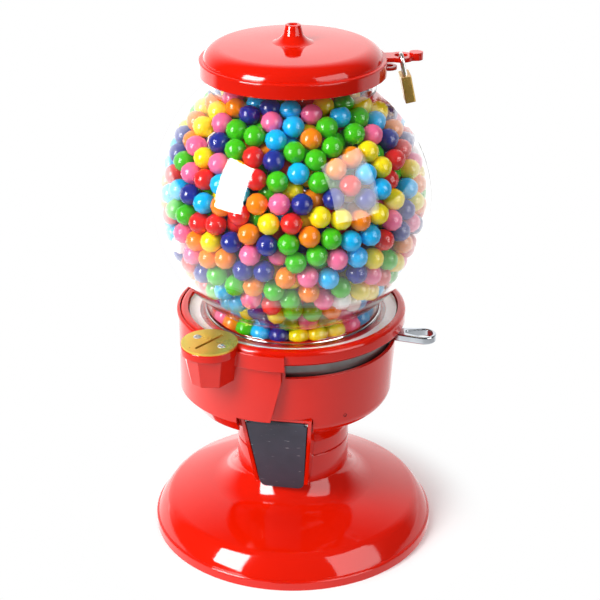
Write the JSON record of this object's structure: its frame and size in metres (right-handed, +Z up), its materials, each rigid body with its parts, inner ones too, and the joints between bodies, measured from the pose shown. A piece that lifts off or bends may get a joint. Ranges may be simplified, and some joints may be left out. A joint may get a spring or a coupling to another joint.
{
  "type": "gumball machine",
  "caption": "Coin-operated table-top gumball machine: red cast pedestal and drum, clear globe full of gumballs, locked lid, swinging finger lever and a hinged chute flap.",
  "frame": {"origin": "centre of the pedestal's underside, on the surface it stands on", "axes": "+Z up along the globe's axis, -Y towards the chute flap, +X towards the lever at rest"},
  "size_m": [0.208, 0.208, 0.381],
  "materials": {
    "red_enamel": "gloss red enamel on castings",
    "clear_shell": "clear polished",
    "candy": "glossy sugar shells in mixed colours",
    "milky_vinyl": "matte",
    "steel": "worn bare steel",
    "chrome": "bright plating",
    "brass": "brushed"
  },
  "bodies": {
    "stand": {"ball_guard": "steel", "base": "red_enamel", "bottom_cover": "steel", "center_rod": "steel", "chute_housing": "red_enamel", "chute_ramp": "steel", "coin_housing": "red_enamel", "coin_plate": "brass", "coin_plate_screws": "steel", "drum": "red_enamel", "drum_floor": "steel", "flap_pin": "steel", "globe": "clear_shell", "globe_gasket": "milky_vinyl", "globe_ring": "red_enamel", "guard_nut": "steel", "gumballs": "candy", "hub_nut": "steel", "lid_gasket": "milky_vinyl", "neck_band": "red_enamel", "return_spring": "steel", "thumb_nut": "steel", "wheel_bush": "brass"},
    "wheel": {"wheel": "steel", "lever": "chrome", "lever_rivets": "steel"},
    "flap": {"flap": "steel"},
    "lid": {"lid": "red_enamel"},
    "padlock": {"padlock_shackle": "steel", "padlock_case": "brass", "padlock_plug": "brass"}
  },
  "joints": [
    {"name": "lever_swing", "type": "hinge", "parent": "stand", "child": "wheel", "pos_m": [0, 0, 0.16], "axis": [0, 0, -1], "range_deg": [0, 78], "stiffness_Nm_per_rad": 0.06},
    {"name": "flap_swing", "type": "hinge", "parent": "stand", "child": "flap", "pos_m": [0, -0.06492, 0.1136], "axis": [-1, 0, 0], "range_deg": [0, 55]},
    {"name": "lid_lift", "type": "slide", "parent": "stand", "child": "lid", "axis": [0, 0, 1], "range_m": [0, 0.07]},
    {"name": "padlock_swing", "type": "hinge", "parent": "lid", "child": "padlock", "pos_m": [0.07242, 0.01131, 0.3566], "axis": [0.9703, 0.2419, 0], "range_deg": [-10, 10]}
  ]
}
